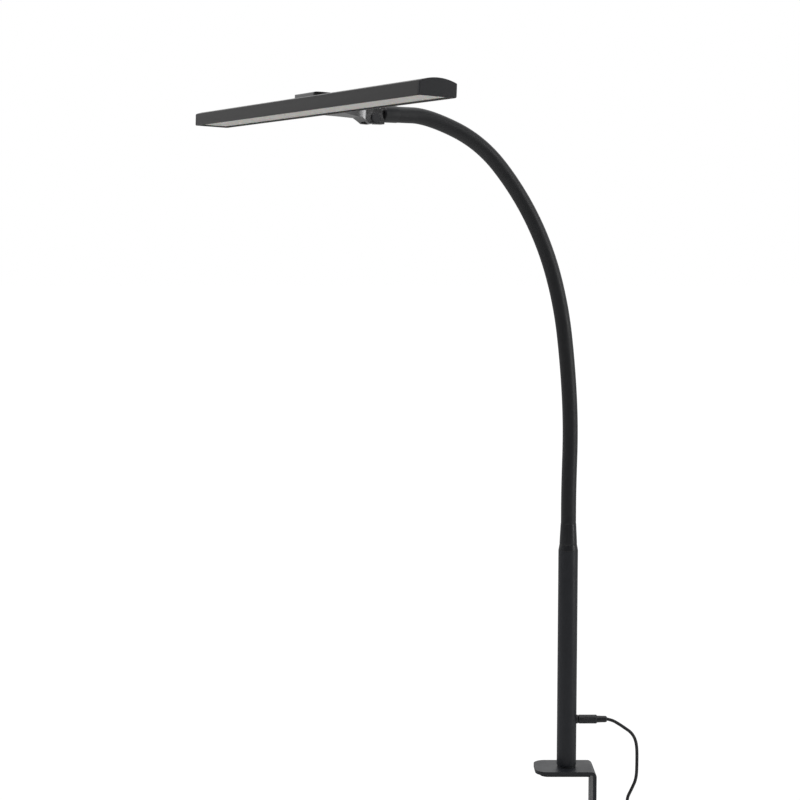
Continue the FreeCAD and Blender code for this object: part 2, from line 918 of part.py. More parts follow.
def hinge_hardware(frame):
    """The bolt and nut lie in the cheeks' counterbores, under two snap-in caps."""
    inner = dim("tongue_width") / 2 + dim("running_gap")
    outer = inner + dim("washer_thickness") + dim("cheek_thickness")
    seat = outer - dim("bolt_cap_height")
    bolt, head = dim("hinge_bolt_radius"), dim("bolt_cap_radius")
    along = Placement(Vector(), ALONG_Y)
    shank = [(0, -outer), (bolt, -outer), (bolt, seat), (head, seat), (head, outer), (0, outer)]
    keep("hinge_bolt", revolve("hinge_bolt", shank), frame.multiply(along))
    nut = [(bolt, -outer), (head, -outer), (head, -seat), (bolt, -seat)]
    keep("hinge_nut", revolve("hinge_nut", nut), frame.multiply(along))

    washers = []
    for face in (inner.value, -inner.value - level("washer_thickness")):
        disc = Part.makeCylinder(
            level("tongue_radius") - 0.4, level("washer_thickness"), Vector(0, face, 0), Vector(0, 1, 0)
        )
        hole = Part.makeCylinder(bolt.value, 30, Vector(0, -15, 0), Vector(0, 1, 0))
        washers.append(disc.cut(hole))
    keep("friction_washers", feature("friction_washers", Part.makeCompound(washers)), frame)

    caps = []
    for way in (-1, 1):
        disc = Part.makeCylinder(
            level("cap_radius"), level("cap_height"), Vector(0, way * outer.value, 0), Vector(0, way, 0)
        )
        rim = [
            edge
            for edge in disc.Edges
            if edge.BoundBox.YLength < 1e-6
            and abs(abs(edge.BoundBox.YMin) - outer.value - level("cap_height")) < 1e-6
        ]
        caps.append(disc.makeFillet(0.9, rim))
    keep("hinge_caps", feature("hinge_caps", Part.makeCompound(caps)), frame)


# ---- yoke ------------------------------------------------------------------------------------


def bar_outline():
    """The light bar's outer section, upright sides under a low arch."""
    rear, front = dim("head_rear"), dim("head_rear") + dim("head_width")
    low, high = dim("head_low"), dim("head_low") + dim("head_side")
    return [(rear, low), (rear, high, arch_radius(), 1), (front, high), (front, low)]


def arch_radius():
    width, rise = dim("head_width"), dim("head_rise")
    return (width * width / 4 + rise * rise) / (rise * 2)


def arch_centre():
    """The centre of the arch's circle, in the head's frame."""
    x = dim("head_rear") + dim("head_width") / 2
    return x, dim("head_low") + dim("head_side") + dim("head_rise") - arch_radius()


def yoke_channel(radius):
    points = [Vector(11.5, 0, 5.9), Vector(28, 0, 7.4), Vector(45, 0, 10.6), Vector(57, 0, 10.9)]
    return round_tube(points, radius)


def yoke(frame):
    """The casting from the hinge's cheeks, out along a fishtail and over the top of the bar."""
    cheek, under, top = dim("cheek_radius"), dim("yoke_underside"), dim("yoke_top")
    front, rear, half = dim("yoke_front"), dim("head_rear"), dim("yoke_width") / 2
    high = dim("cheek_top")
    back = as_size(5.0)
    profile = [
        (back - cheek, high, back, -1),
        (-cheek, high - back),
        (-cheek, 0, cheek, -1),
        (0, -cheek),
        (6.8, -cheek),
        (15.6, -0.2),
        (rear + 1, under),
        (front, under),
        (front, top - 1.5, 1.5, -1),
        (front - 1.5, top),
        (rear + 6, top, 14, -1),
        (rear - 5, top - 4.6),
        (rear - 21, high + 0.4),
    ]
    side_view = extrude("yoke_side", "XZ_Plane", [profile], dim("yoke_width"))

    cheek_out = dim("tongue_width") / 2 + dim("running_gap") + dim("washer_thickness")
    cheek_out = cheek_out + dim("cheek_thickness")
    corner = dim("yoke_corner")
    plan = [
        (-cheek - 1, -cheek_out),
        (11, -cheek_out, 72, 1),
        (rear - 4, -half),
        (front - corner, -half, corner, -1),
        (front, -half + corner),
        (front, half - corner, corner, -1),
        (front - corner, half),
        (rear - 4, half, 72, 1),
        (11, cheek_out),
        (-cheek - 1, cheek_out),
    ]
    plan_view = extrude("yoke_plan", "XY_Plane", [plan], 60)
    blank = common("yoke_blank", side_view, plan_view)

    gap = dim("tongue_width") + (dim("running_gap") + dim("washer_thickness")) * 2
    slot = cylinder("yoke_slot", dim("slot_radius"), gap, ALONG_Y, y=-gap / 2)
    open_back = box("yoke_open_back", cheek + 2.5, gap, 40, x=-cheek - 1, y=-gap / 2, z=-20)
    bore = cylinder("yoke_bore", dim("hinge_bolt_radius"), 40, ALONG_Y, y=-20)
    seats = []
    for way, side in ((-1, "far"), (1, "near")):
        start = cheek_out - dim("bolt_cap_height") if way == 1 else -cheek_out - 5
        depth = dim("bolt_cap_height") + 5
        seats.append(cylinder(f"bolt_seat_{side}", dim("bolt_cap_radius"), depth, ALONG_Y, y=start))
    bar = extrude("yoke_bar_space", "XZ_Plane", [bar_outline()], dim("yoke_width") + 10)
    channel = feature("yoke_channel", yoke_channel(level("lead_radius") + 0.3))
    tools = [slot, open_back, bore, bar, channel, *seats]
    for way in (-1, 1):
        spot = dim("yoke_screw_spread") * way
        x = dim("yoke_screw_x")
        tools.append(cylinder(f"screw_hole_{way + 1}", dim("yoke_screw_radius"), 30, x=x, y=spot))
        sink = dim("yoke_screw_head") + 0.1
        tools.append(cylinder(f"screw_sink_{way + 1}", sink, 10, x=x, y=spot, z=top - 2))
    keep("yoke", cut("yoke", blank, tools), frame)


def hex_socket(spot, top):
    corners = []
    for turn in range(7):
        angle = math.pi / 3 * turn
        corners.append(Vector(spot.x + 1.15 * math.cos(angle), spot.y + 1.15 * math.sin(angle), top))
    face = Part.Face(Part.makePolygon(corners))
    return face.extrude(Vector(0, 0, -1.6))


def yoke_fixings(frame):
    """Two screws from the yoke's top into a plate inside the bar."""
    top, shaft, head = level("yoke_top"), level("yoke_screw_radius"), level("yoke_screw_head")
    low = level("head_low") + level("web_height") + level("board_thickness") + 1.4
    screws, holes = [], []
    for way in (-1, 1):
        spot = Vector(level("yoke_screw_x"), way * level("yoke_screw_spread"), low)
        rod = Part.makeCylinder(shaft, top - 2 - low, spot)
        cap = Part.makeCylinder(head, 1.6, Vector(spot.x, spot.y, top - 2))
        cap = cap.makeFillet(0.5, [cap.Edges[0]])
        screws.append(rod.fuse(cap).cut(hex_socket(spot, top)))
        holes.append(Part.makeCylinder(shaft, 40, Vector(spot.x, spot.y, -10)))
    keep("yoke_screws", feature("yoke_screws", Part.makeCompound(screws)), frame)

    start = dim("yoke_screw_x") - 10
    plate = box("plate_blank", 20, 40, 2.2, x=start, y=-20, z=low + 0.2)
    drilled = cut("nut_plate", plate, [feature("nut_plate_holes", Part.makeCompound(holes))])
    keep("nut_plate", drilled, frame)


# ---- light bar -------------------------------------------------------------------------------


def head_profile(frame):
    """The aluminium extrusion: an open channel below for the light, a closed one above."""
    rear, front = dim("head_rear"), dim("head_rear") + dim("head_width")
    low, high, wall, lip = dim("head_low"), dim("head_low") + dim("head_side"), dim("wall"), dim("lip")
    ledge, web = low + dim("lip_height"), low + dim("web_height")
    section = [
        (rear, low),
        (rear, high, arch_radius(), 1),
        (front, high),
        (front, low),
        (front - lip, low),
        (front - lip, ledge),
        (front - wall, ledge),
        (front - wall, web),
        (rear + wall, web),
        (rear + wall, ledge),
        (rear + lip, ledge),
        (rear + lip, low),
    ]
    floor = web + dim("board_thickness")
    body = extrude("profile_extrusion", "XZ_Plane", [section, chamber(floor, 0)], bar_length())
    entry = cylinder("lead_entry", dim("lead_radius") + 0.3, 8, ALONG_X, x=rear - 4, z=10.9)
    holes = [entry]
    for way in (-1, 1):
        holes.append(
            cylinder(
                f"profile_hole_{way + 1}",
                dim("yoke_screw_radius"),
                20,
                x=dim("yoke_screw_x"),
                y=dim("yoke_screw_spread") * way,
                z=floor + 0.5,
            )
        )
    keep("head_profile", cut("head_profile", body, holes), frame)


def bar_length():
    return dim("head_length") - dim("end_cap") * 2


def chamber(floor, gap):
    """The outline of the closed channel under the arch, shrunk by a gap all round."""
    rear, front = dim("head_rear"), dim("head_rear") + dim("head_width")
    inset, radius = dim("wall") + gap, arch_radius() - dim("wall") - gap
    x, z = arch_centre()
    half = dim("head_width") / 2 - inset
    shoulder = z + root(radius * radius - half * half)
    return [
        (rear + inset, floor + gap),
        (rear + inset, shoulder, radius, 1),
        (front - inset, shoulder),
        (front - inset, floor + gap),
    ]


def end_caps(frame):
    """Each cap is the bar's full section, with a plug that fits inside the closed channel."""
    floor = dim("head_low") + dim("web_height") + dim("board_thickness")
    for name, way in (("end_cap_near", 1), ("end_cap_far", -1)):
        body = new_body(name)
        # the sketch plane faces -Y, so the near cap's plate is padded the other way
        pad(body, "XZ_Plane", [bar_outline()], dim("end_cap"), "One side", way == 1)
        plug_outline = chamber(floor, dim("fit_gap"))
        pad(body, "XZ_Plane", [plug_outline], dim("plug_depth"), "One side", way == -1)
        place = Placement(Vector(0, way * bar_length().value / 2, 0), Rotation())
        keep(name, body, frame.multiply(place))


def light_engine(frame):
    """Opal diffuser, aluminium circuit board and its light-emitting diodes, and the dimmer board."""
    rear, width, low = dim("head_rear"), dim("head_width"), dim("head_low")
    length, gap, inset = bar_length(), dim("fit_gap"), dim("board_inset")
    side = dim("wall") + gap
    opal = box(
        "diffuser",
        width - side * 2,
        length,
        dim("diffuser_thickness"),
        x=rear + side,
        y=-length / 2,
        z=low + dim("lip_height"),
    )
    keep("diffuser", opal, frame)

    board_low = low + dim("web_height") - dim("board_thickness")
    board = box(
        "led_board",
        width - inset * 2,
        length - 12,
        dim("board_thickness"),
        x=rear + inset,
        y=-length / 2 + 6,
        z=board_low,
    )
    keep("led_board", board, frame)

    pitch = (length.value - 24) / LED_COLUMNS
    height = level("led_height")
    chips = []
    for row in range(LED_ROWS):
        x = rear.value + width.value * (row + 1) / (LED_ROWS + 1)
        for column in range(LED_COLUMNS):
            y = pitch * (column - (LED_COLUMNS - 1) / 2)
            corner = Vector(x - 1.4, y - 1.75, board_low.value - height)
            chips.append(Part.makeBox(2.8, 3.5, height, corner))
    keep("leds", feature("leds", Part.makeCompound(chips)), frame)

    floor = low + dim("web_height") + dim("board_thickness")
    base = box("dimmer_base", 16, 64, 1.2, x=rear + 12, y=40, z=floor + 0.2)
    chip = box("dimmer_chip", 8, 12, 1.4, x=rear + 16, y=60, z=floor + 1.4)
    coil = box("dimmer_coil", 7, 7, 2.0, x=rear + 16, y=84, z=floor + 1.4)
    keep("dimmer_board", fuse("dimmer_board", [base, chip, coil]), frame)

    keep("head_lead", feature("head_lead", yoke_channel(level("lead_radius"))), frame)


# ---- build -----------------------------------------------------------------------------------


def build():
    fill_sheet()
    clamp_bracket()
    clamp_pads_and_bush()
    pressure_pad()
    screw_and_knob()
    pole_top = pole()
    collar_and_ferrule(pole_top)
    power_socket()
    plug()
    internal_lead(pole_top)
    cord()
    adapter()
    frames, tip = neck_frames()
    neck(frames)
    at_end = end_frame(tip)
    neck_end(at_end)
    at_hinge = head_frame(at_end)
    hinge_hardware(at_hinge)
    yoke(at_hinge)
    yoke_fixings(at_hinge)
    head_profile(at_hinge)
    end_caps(at_hinge)
    light_engine(at_hinge)


def check():
    doc.recompute()
    for thing in doc.Objects:
        if "Invalid" in thing.State or "Error" in thing.State:
            raise RuntimeError(f"{thing.Label} failed: {thing.State}")
    for node in nodes:
        shape = node.Shape
        if shape.isNull() or not shape.isValid() or shape.Volume <= 0:
            raise RuntimeError(f"{node.Label} has no valid shape")


def export():
    os.makedirs("parts", exist_ok=True)
    for node in nodes:
        node.Shape.exportStep(f"parts/{node.Label}.step")
        print(f"{node.Label:20s} {len(node.Shape.Solids):3d} solids {node.Shape.Volume:10.1f} mm3")


build()
check()
export()
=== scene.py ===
import json
import math

import bpy
from mathutils import Matrix, Vector


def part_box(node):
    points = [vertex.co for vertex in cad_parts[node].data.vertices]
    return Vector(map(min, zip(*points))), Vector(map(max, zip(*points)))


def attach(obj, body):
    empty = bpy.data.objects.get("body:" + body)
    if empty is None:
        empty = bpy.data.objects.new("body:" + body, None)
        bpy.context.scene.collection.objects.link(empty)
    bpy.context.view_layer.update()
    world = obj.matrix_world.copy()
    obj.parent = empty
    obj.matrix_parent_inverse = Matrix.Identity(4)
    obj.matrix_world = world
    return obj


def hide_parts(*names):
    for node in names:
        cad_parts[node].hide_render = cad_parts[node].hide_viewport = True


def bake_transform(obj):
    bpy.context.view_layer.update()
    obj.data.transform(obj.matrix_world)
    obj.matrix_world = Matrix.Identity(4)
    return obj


# Clamp-on task lamp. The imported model's nodes keep their shapes and get finishes and broken edges.
# The neck's sheath, the clamp screw's thread, the plug and the cord are made here. Metres.

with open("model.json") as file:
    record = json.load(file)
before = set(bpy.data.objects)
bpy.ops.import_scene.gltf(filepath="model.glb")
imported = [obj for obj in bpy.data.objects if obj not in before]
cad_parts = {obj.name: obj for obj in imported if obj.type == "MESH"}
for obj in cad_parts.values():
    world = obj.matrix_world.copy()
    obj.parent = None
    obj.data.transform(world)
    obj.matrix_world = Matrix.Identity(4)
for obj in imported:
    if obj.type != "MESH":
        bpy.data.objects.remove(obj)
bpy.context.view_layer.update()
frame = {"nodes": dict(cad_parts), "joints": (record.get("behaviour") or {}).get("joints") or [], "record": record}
nodes = frame["nodes"]
joints = {joint["name"]: joint for joint in frame["joints"]}
scene = bpy.context.scene


# ---- camera ------------------------------------------------------------------------------------

camera = bpy.data.objects.new("camera", bpy.data.cameras.new("camera"))
camera.data.lens = 76.5
camera.data.sensor_width = 36.0
camera.data.clip_end = 200.0
camera.location = (-0.18907, -1.88899, 0.59015)
camera.rotation_euler = (math.radians(84.98), 0.0, 0.0)
scene.collection.objects.link(camera)
scene.camera = camera


# ---- making meshes -----------------------------------------------------------------------------


def new_piece(name, vertices, faces):
    mesh = bpy.data.meshes.new(name)
    mesh.from_pydata([tuple(v) for v in vertices], [], faces)
    mesh.validate()
    piece = bpy.data.objects.new(name, mesh)
    scene.collection.objects.link(piece)
    mesh.polygons.foreach_set("use_smooth", [True] * len(mesh.polygons))
    return piece


def soften(piece, width):
    """Breaks the sharp edges, as on a real casting or moulding, and keeps flat faces flat."""
    piece.modifiers.new("weld", "WELD").merge_threshold = 2e-6
    bevel = piece.modifiers.new("edges", "BEVEL")
    bevel.width = width
    bevel.segments = 2
    bevel.limit_method = "ANGLE"
    bevel.angle_limit = math.radians(32.0)
    bevel.use_clamp_overlap = True
    normals = piece.modifiers.new("normals", "WEIGHTED_NORMAL")
    normals.mode = "FACE_AREA_WITH_ANGLE"
    normals.weight = 80


def rings_joined(count, steps):
    """The faces of a tube of rings of vertices, each ring joined to the one after it."""
    faces = []
    for ring in range(count - 1):
        for step in range(steps):
            after = (step + 1) % steps
            low, high = ring * steps, (ring + 1) * steps
            faces.append((low + step, low + after, high + after, high + step))
    return faces


def ends_closed(count, steps):
    last = (count - 1) * steps
    return [tuple(reversed(range(steps))), tuple(last + step for step in range(steps))]


def lathe(name, profile, frame_of, steps, ripple):
    """A turned piece about the frame's X axis. profile holds (x, radius). ripple(x, angle) adds to
    the radius."""
    vertices = []
    for x, radius in profile:
        for step in range(steps):
            angle = 2 * math.pi * step / steps
            r = radius + ripple(x, angle)
            vertices.append(frame_of @ Vector((x, r * math.cos(angle), r * math.sin(angle))))
    faces = rings_joined(len(profile), steps) + ends_closed(len(profile), steps)
    return new_piece(name, vertices, faces)


# ---- cord: from the plug's relief, down past the table, into a tied coil, and to the adapter -----

CORD_RADIUS = 0.0018
CORD_ROUTE = [
    (0.0457, 0.0, 0.0610),
    (0.0515, 0.0, 0.0598),
    (0.0584, -0.0003, 0.0559),
    (0.0664, -0.0007, 0.0506),
    (0.0734, -0.0010, 0.0456),
    (0.0780, -0.0011, 0.0380),
    (0.0799, -0.0009, 0.0280),
    (0.0802, -0.0004, 0.0120),
    (0.0800, 0.0006, -0.0080),
    (0.0744, 0.0012, -0.0212),
    (0.0693, 0.0018, -0.0321),
    (0.0714, 0.0022, -0.0414),
    (0.0789, 0.0025, -0.0475),
]
COIL_CENTRE = Vector((0.084, 0.003, -0.074))
COIL_RADIUS = 0.021
COIL_TURNS = 12.36
COIL_STEPS = 14  # points in a turn
OUTER_TURNS = 9
OUTER_SPREAD = 0.00535  # from the bundle's middle line to an outer turn, and how far an inner one lies in
INNER_STEP = 0.0032
TAIL_ROUTE = [
    (0.0925, 0.0034, -0.0972),
    (0.0874, 0.0036, -0.1052),
    (0.0843, 0.0042, -0.1155),
    (0.0830, 0.0048, -0.1280),
    (0.0831, 0.0050, -0.1404),
]


def coil_route():
    """The first turns lie round the bundle's outside, one cord's width apart, and the rest inside."""
    points = []
    for step in range(1, int(COIL_TURNS * COIL_STEPS) + 1):
        turn = step / COIL_STEPS
        angle = math.radians(90) - 2 * math.pi * turn
        if turn < OUTER_TURNS:
            lane, spread = math.radians(80 + 40 * turn), OUTER_SPREAD
        else:
            inward = min((turn - OUTER_TURNS) / 0.4, 1.0)
            lane = math.radians(80 + 120 * (turn - OUTER_TURNS))
            spread = OUTER_SPREAD - INNER_STEP * inward
        radius = COIL_RADIUS + spread * math.sin(lane)
        points.append(
            COIL_CENTRE
            + Vector((radius * math.cos(angle), -spread * math.cos(lane), radius * math.sin(angle)))
        )
    return points


def cord_line():
    route = [Vector(p) for p in CORD_ROUTE] + coil_route() + [Vector(p) for p in TAIL_ROUTE]
    data = bpy.data.curves.new("power_cord", "CURVE")
    data.dimensions = "3D"
    spline = data.splines.new("NURBS")
    spline.points.add(len(route) - 1)
    for point, place in zip(spline.points, route):
        point.co = (*place, 1.0)
    spline.order_u = 3
    spline.use_endpoint_u = True
    spline.resolution_u = 6
    data.bevel_depth = CORD_RADIUS
    data.bevel_resolution = 5
    data.use_fill_caps = True
    cord = bpy.data.objects.new("power_cord", data)
    scene.collection.objects.link(cord)
    return cord


cord = cord_line()


# ---- materials -----------------------------------------------------------------------------------


def link(tree, start, end):
    tree.links.new(start, end)


def material(
    name,
    dark,
    light,
    roughness,
    metallic=0.0,
    mottle=60.0,
    grain=900.0,
    grain_depth=0.00002,
    stretch=(1.0, 1.0, 1.0),
    turn=(0.0, 0.0, 0.0),
    coat=0.0,
    specular=0.5,
    sheen=0.0,
    subsurface=0.0,
):
    """A surface whose colour drifts between two tones, whose gloss varies, and whose grain is a
    fine relief. mottle and grain are in cycles a metre."""
    made = bpy.data.materials.new(name)
    made.use_nodes = True
    tree = made.node_tree
    shader = tree.nodes["Principled BSDF"]
    shader.inputs["Metallic"].default_value = metallic
    shader.inputs["Specular IOR Level"].default_value = specular
    shader.inputs["Coat Weight"].default_value = coat
    shader.inputs["Coat Roughness"].default_value = 0.15
    shader.inputs["Sheen Weight"].default_value = sheen
    shader.inputs["Subsurface Weight"].default_value = subsurface
    shader.inputs["Subsurface Scale"].default_value = 0.002

    place = tree.nodes.new("ShaderNodeTexCoord")
    mapping = tree.nodes.new("ShaderNodeMapping")
    mapping.vector_type = "TEXTURE"
    mapping.inputs["Rotation"].default_value = turn
    mapping.inputs["Scale"].default_value = stretch
    link(tree, place.outputs["Object"], mapping.inputs["Vector"])

    clouds = tree.nodes.new("ShaderNodeTexNoise")
    clouds.inputs["Scale"].default_value = mottle
    clouds.inputs["Detail"].default_value = 5.0
    clouds.inputs["Roughness"].default_value = 0.6
    link(tree, mapping.outputs["Vector"], clouds.inputs["Vector"])
    fine = tree.nodes.new("ShaderNodeTexNoise")
    fine.inputs["Scale"].default_value = grain
    fine.inputs["Detail"].default_value = 3.0
    link(tree, mapping.outputs["Vector"], fine.inputs["Vector"])

    blend = tree.nodes.new("ShaderNodeMath")
    blend.operation = "MULTIPLY_ADD"
    blend.inputs[1].default_value = 0.35
    link(tree, fine.outputs["Fac"], blend.inputs[0])
    scaled = tree.nodes.new("ShaderNodeMath")
    scaled.operation = "MULTIPLY"
    scaled.inputs[1].default_value = 0.65
    link(tree, clouds.outputs["Fac"], scaled.inputs[0])
    link(tree, scaled.outputs["Value"], blend.inputs[2])

    ramp = tree.nodes.new("ShaderNodeValToRGB")
    ramp.color_ramp.elements[0].position = 0.32
    ramp.color_ramp.elements[0].color = (*dark, 1.0)
    ramp.color_ramp.elements[1].position = 0.68
    ramp.color_ramp.elements[1].color = (*light, 1.0)
    link(tree, blend.outputs["Value"], ramp.inputs["Fac"])
    link(tree, ramp.outputs["Color"], shader.inputs["Base Color"])

    gloss = tree.nodes.new("ShaderNodeMapRange")
    gloss.inputs["From Min"].default_value = 0.3
    gloss.inputs["From Max"].default_value = 0.7
    gloss.inputs["To Min"].default_value = roughness[0]
    gloss.inputs["To Max"].default_value = roughness[1]
    link(tree, clouds.outputs["Fac"], gloss.inputs["Value"])
    link(tree, gloss.outputs["Result"], shader.inputs["Roughness"])

    relief = tree.nodes.new("ShaderNodeBump")
    relief.inputs["Strength"].default_value = 0.6
    relief.inputs["Distance"].default_value = grain_depth
    link(tree, fine.outputs["Fac"], relief.inputs["Height"])
    link(tree, relief.outputs["Normal"], shader.inputs["Normal"])
    return made


def head_turn():
    """The turn that lays the texture's own Y along the light bar."""
    low_near, high_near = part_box("end_cap_near")
    low_far, high_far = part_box("end_cap_far")
    along = (low_near + high_near) - (low_far + high_far)
    return (0.0, 0.0, math.atan2(-along.x, along.y))


ALONG_BAR = head_turn()

LOOKS = {
    "black_powder_coat": material(
        "black_powder_coat",
        (0.0130, 0.0145, 0.0185),
        (0.0200, 0.0220, 0.0270),
        (0.36, 0.46),
        grain=1500.0,
        grain_depth=0.00003,
    ),
    "dark_metal": material(
        "dark_metal",
        (0.0110, 0.0115, 0.0135),
        (0.0190, 0.0200, 0.0225),
        (0.30, 0.40),
        grain=1800.0,
        grain_depth=0.000012,
    ),
    "polished_gunmetal": material(
        "polished_gunmetal",
        (0.145, 0.145, 0.147),
        (0.195, 0.195, 0.198),
        (0.16, 0.26),
        metallic=1.0,
        mottle=90.0,
        grain=700.0,
        grain_depth=0.00001,
    ),
    "dark_anodised": material(
        "dark_anodised",
        (0.0105, 0.0101, 0.0106),
        (0.0175, 0.0168, 0.0176),
        (0.34, 0.44),
        stretch=(1.0, 40.0, 1.0),
        turn=ALONG_BAR,
        grain=2200.0,
        grain_depth=0.000012,
    ),
    "plain_aluminium": material(
        "plain_aluminium",
        (0.50, 0.50, 0.51),
        (0.68, 0.68, 0.69),
        (0.28, 0.42),
        metallic=1.0,
        stretch=(1.0, 12.0, 1.0),
        grain=1600.0,
    ),
    "dark_steel": material(
        "dark_steel",
        (0.10, 0.10, 0.105),
        (0.20, 0.20, 0.20),
        (0.26, 0.40),
        metallic=1.0,
        mottle=220.0,
        grain=1600.0,
    ),
    "plated_pins": material(
        "plated_pins",
        (0.66, 0.65, 0.62),
        (0.80, 0.79, 0.76),
        (0.12, 0.22),
        metallic=1.0,
        grain=1500.0,
        grain_depth=0.000008,
    ),
    "neck_sheath": material(
        "neck_sheath",
        (0.0075, 0.0080, 0.0095),
        (0.0120, 0.0127, 0.0147),
        (0.42, 0.54),
        grain=1100.0,
        grain_depth=0.00003,
        sheen=0.06,
    ),
    "neck_spiral": material(
        "neck_spiral",
        (0.03, 0.03, 0.03),
        (0.06, 0.06, 0.06),
        (0.40, 0.55),
    ),
    "black_plastic": material(
        "black_plastic",
        (0.0180, 0.0188, 0.0218),
        (0.0290, 0.0300, 0.0340),
        (0.46, 0.58),
        grain=2600.0,
        grain_depth=0.00006,
    ),
    "black_rubber": material(
        "black_rubber",
        (0.014, 0.014, 0.014),
        (0.024, 0.024, 0.024),
        (0.66, 0.82),
        grain=1400.0,
        grain_depth=0.00005,
    ),
    "cord_jacket": material(
        "cord_jacket",
        (0.013, 0.013, 0.015),
        (0.022, 0.022, 0.024),
        (0.38, 0.48),
        grain=1800.0,
        grain_depth=0.00002,
    ),
    "lead_sheath": material(
        "lead_sheath",
        (0.22, 0.22, 0.23),
        (0.32, 0.32, 0.33),
        (0.45, 0.60),
    ),
    "opal_acrylic": material(
        "opal_acrylic",
        (0.78, 0.755, 0.71),
        (0.84, 0.815, 0.77),
        (0.40, 0.50),
        grain=1800.0,
        grain_depth=0.00001,
        subsurface=0.25,
    ),
    "white_nylon": material(
        "white_nylon",
        (0.66, 0.66, 0.62),
        (0.76, 0.76, 0.72),
        (0.40, 0.50),
    ),
    "white_board": material(
        "white_board",
        (0.76, 0.76, 0.74),
        (0.84, 0.84, 0.82),
        (0.35, 0.45),
    ),
    "led_phosphor": material(
        "led_phosphor",
        (0.80, 0.62, 0.16),
        (0.90, 0.76, 0.26),
        (0.35, 0.50),
        mottle=600.0,
    ),
    "green_board": material(
        "green_board",
        (0.02, 0.12, 0.05),
        (0.04, 0.20, 0.09),
        (0.30, 0.45),
        mottle=400.0,
    ),
}


def paint(piece, slot):
    piece.data.materials.clear()
    piece.data.materials.append(LOOKS[slot])


# ---- the model's own pieces: finishes and broken edges -------------------------------------------

for part in frame["record"]["subparts"]:
    paint(nodes[part["node"]], part["material_slot"])

EDGE_WIDTHS = {
    "clamp_bracket": 0.0005,
    "upper_pad": 0.0005,
    "jaw_bush": 0.0005,
    "pressure_plate": 0.0004,
    "lower_pad": 0.0006,
    "clamp_knob": 0.0012,
    "pole_tube": 0.0002,
    "swivel_washer": 0.0002,
    "swivel_bolt": 0.0003,
    "dc_socket": 0.0004,
    "pole_collar": 0.0003,
    "lower_ferrule": 0.0004,
    "cord_tie": 0.0003,
    "adapter_body": 0.0016,
    "adapter_relief": 0.0004,
    "adapter_pins": 0.0006,
    "upper_ferrule": 0.0003,
    "hinge_tongue": 0.0005,
    "yoke": 0.0007,
    "yoke_screws": 0.0002,
    "hinge_caps": 0.0003,
    "head_profile": 0.0006,
    "end_cap_near": 0.0009,
    "end_cap_far": 0.0009,
    "diffuser": 0.0002,
}
for name, width in EDGE_WIDTHS.items():
    node = nodes[name]
    node.data.polygons.foreach_set("use_smooth", [True] * len(node.data.polygons))
    soften(node, width)


# ---- flexible neck: one smooth sheath, bending where the links do --------------------------------

NECK_RADIUS = 0.0085
LAST_LENGTH = 0.038  # from the last pivot to the upper ferrule


def neck_line():
    """The neck's root, its eight pivots and its tip."""
    low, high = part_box("lower_ferrule")
    pivots = [Vector(joints[f"neck_bend_{number}"]["pos_m"]) for number in range(1, 9)]
    root = Vector((0.0, 0.0, high.z))
    low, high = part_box("upper_ferrule")
    tip = pivots[-1] + ((low + high) / 2 - pivots[-1]).normalized() * LAST_LENGTH
    return [root] + pivots + [tip]


def sheath(name, line):
    """A round tube along the line. Each ring keeps its neighbour's turn, so it doesn't twist."""
    steps, vertices = 40, []
    side = Vector((0.0, 1.0, 0.0))
    for number, point in enumerate(line):
        ahead = line[min(number + 1, len(line) - 1)] - line[max(number - 1, 0)]
        ahead.normalize()
        side = (side - ahead * side.dot(ahead)).normalized()
        other = ahead.cross(side)
        for step in range(steps):
            angle = 2 * math.pi * step / steps
            spoke = side * math.cos(angle) + other * math.sin(angle)
            vertices.append(point + spoke * NECK_RADIUS)
    return new_piece(name, vertices, rings_joined(len(line), steps))


def bezier(start, bend, end, count):
    points = []
    for step in range(count + 1):
        t = step / count
        points.append(start * (1 - t) ** 2 + bend * (2 * t * (1 - t)) + end * t**2)
    return points


def neck():
    line = neck_line()
    for number in range(1, 9):
        before, pivot, after = line[number - 1 : number + 2]
        start = (before + pivot) / 2
        end = (pivot + after) / 2
        path = bezier(start, pivot, end, 22)
        if number == 1:
            path = [before + (start - before) * (step / 8) for step in range(8)] + path
        if number == 8:
            path += [end + (after - end) * (step / 8) for step in range(1, 9)]
        piece = sheath(f"neck_sheath_{number}", path)
        paint(piece, "neck_sheath")
        covered = [f"neck_sleeve_{number}", f"neck_core_{number}"]
        if number == 1:
            covered += ["neck_sleeve_0", "neck_core_0"]
        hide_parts(*covered)
        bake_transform(piece)


neck()


# ---- clamp screw with its thread -----------------------------------------------------------------


SCREW_RADIUS = 0.005
SCREW_PITCH = 0.002
THREAD_DEPTH = 0.00055
PIN_LENGTH = 0.0055
PIN_RADIUS = 0.003


